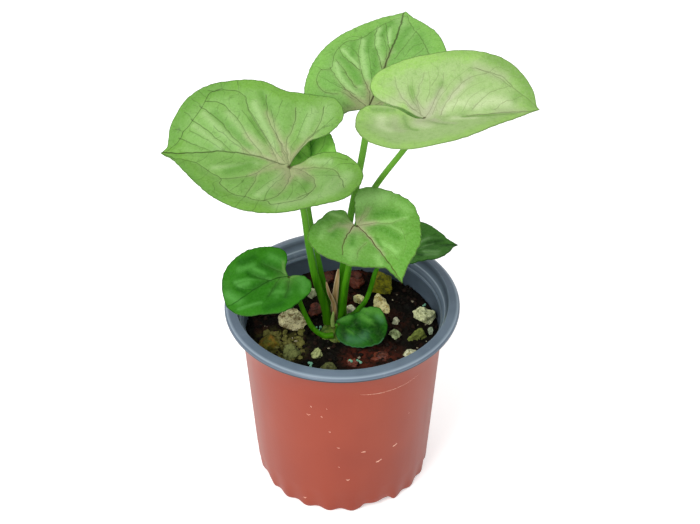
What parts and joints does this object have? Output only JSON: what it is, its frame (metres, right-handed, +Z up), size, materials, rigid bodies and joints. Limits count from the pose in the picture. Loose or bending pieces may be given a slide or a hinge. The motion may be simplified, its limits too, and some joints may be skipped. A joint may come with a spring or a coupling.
{
  "type": "arrowhead plant in a nursery pot",
  "caption": "Young arrowhead plant with heart-shaped leaves on slender stalks, growing in soil with stones in a round nursery pot.",
  "frame": {"origin": "on the ground, in the middle of the flat pad under the pot, on the pot's axis", "axes": "+Z up along the pot's axis, -Y towards the side that the small front leaf faces, +X to that viewer's right"},
  "size_m": [0.1561, 0.1376, 0.2112],
  "materials": {
    "pot_plastic": "terracotta outside, blue-grey inside and on the rim, soft gloss",
    "soil": "matte, crumbly, damp potting compost",
    "crown": "matte, fibrous green to straw",
    "leaf": "soft satin leaf, veined",
    "stalk": "glossy green, fine lengthways grain",
    "dry_leaf": "matte, papery, dry",
    "stone": "rough pumice and gravel",
    "bark": "rough damp bark"
  },
  "bodies": {
    "root": {"pot": "pot_plastic", "soil": "soil", "crown": "crown", "blade_big_left": "leaf", "stalk_big_left": "stalk", "blade_top_back": "leaf", "stalk_top_back": "stalk", "blade_right": "leaf", "stalk_right": "stalk", "blade_centre_front": "leaf", "stalk_centre_front": "stalk", "blade_low_left": "leaf", "stalk_low_left": "stalk", "blade_low_right": "leaf", "stalk_low_right": "stalk", "blade_back_left": "leaf", "stalk_back_left": "stalk", "blade_small_front": "leaf", "stalk_small_front": "stalk", "young_shoot": "stalk", "dry_sheath_left": "dry_leaf", "dry_sheath_back": "dry_leaf", "stone_pumice_left": "stone", "stone_mossy_left": "stone", "stone_olive_front_left": "stone", "stone_pale_green_front": "stone", "stone_dark_front": "stone", "stone_beige_right": "stone", "stone_olive_right": "stone", "stone_grey_small_right": "stone", "stone_pale_front_right": "stone", "stone_long_beige": "stone", "stone_pale_flake": "stone", "stone_grey_green_right": "stone", "stone_white_flat": "stone", "stone_yellow_small": "stone", "stone_olive_back": "stone", "stone_pale_back_left": "stone", "bark_left": "bark", "bark_back_left": "bark", "bark_back": "bark", "bark_middle": "bark", "bark_front_right": "bark", "bark_front": "bark"}
  },
  "joints": []
}
